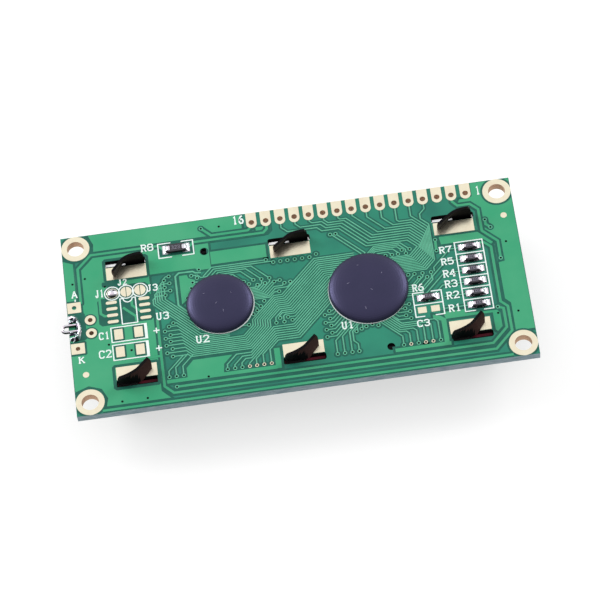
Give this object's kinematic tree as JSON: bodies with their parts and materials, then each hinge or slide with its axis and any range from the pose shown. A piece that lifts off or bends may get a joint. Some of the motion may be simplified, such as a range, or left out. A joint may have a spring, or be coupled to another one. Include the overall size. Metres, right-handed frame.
{
  "type": "character display module",
  "caption": "Character display module: green circuit board with resin chip covers, a header row, and a folded black steel bezel locked on by slit, twisted tabs.",
  "frame": {"origin": "centre of the four mounting holes, on the board's display face", "axes": "+X along the board's length, +Y towards the header row, +Z out of the component face; the display looks along -Z"},
  "size_m": [0.0813, 0.036, 0.011],
  "materials": {
    "board": "green solder mask over glass laminate",
    "gold": "gold flash",
    "tin": "bright tin",
    "solder": "bright solder",
    "black_steel": "satin black",
    "polariser": "glossy film",
    "rear_polariser": "glossy film",
    "glass": "clear",
    "white_film": "matt white",
    "clear_plastic": "clear acrylic",
    "black_plastic": "matt black",
    "led_board": "white solder mask",
    "led_resin": "phosphor resin",
    "strip_rubber": "matt",
    "cover_resin": "matt black resin",
    "silicon": "polished",
    "white_ceramic": "fired alumina",
    "dark_glaze": "dark glaze"
  },
  "bodies": {
    "root": {"circuit_board": "board", "mounting_lands": "gold", "header_lands": "gold", "tab_lands": "gold", "terminal_lands": "gold", "jumper_lands": "gold", "capacitor_lands": "gold", "chip_lands": "gold", "target_lands": "gold", "resistor_lands": "tin", "edge_land": "tin", "bezel": "black_steel", "front_polariser": "polariser", "rear_polariser": "rear_polariser", "front_glass": "glass", "rear_glass": "glass", "diffuser": "white_film", "reflector": "white_film", "light_guide": "clear_plastic", "holder_frame": "black_plastic", "led_board": "led_board", "led_packages": "led_resin", "led_leads": "tin", "contact_strip_upper": "strip_rubber", "contact_strip_lower": "strip_rubber", "driver_cover": "cover_resin", "controller_cover": "cover_resin", "driver_die": "silicon", "controller_die": "silicon", "resistor_cores": "white_ceramic", "long_resistor_core": "white_ceramic", "resistor_coats": "dark_glaze", "long_resistor_coat": "dark_glaze", "resistor_caps": "tin", "long_resistor_caps": "tin", "resistor_solder": "solder", "long_resistor_solder": "solder", "edge_link": "tin", "edge_solder": "solder", "jumper_solder": "solder"}
  },
  "joints": []
}
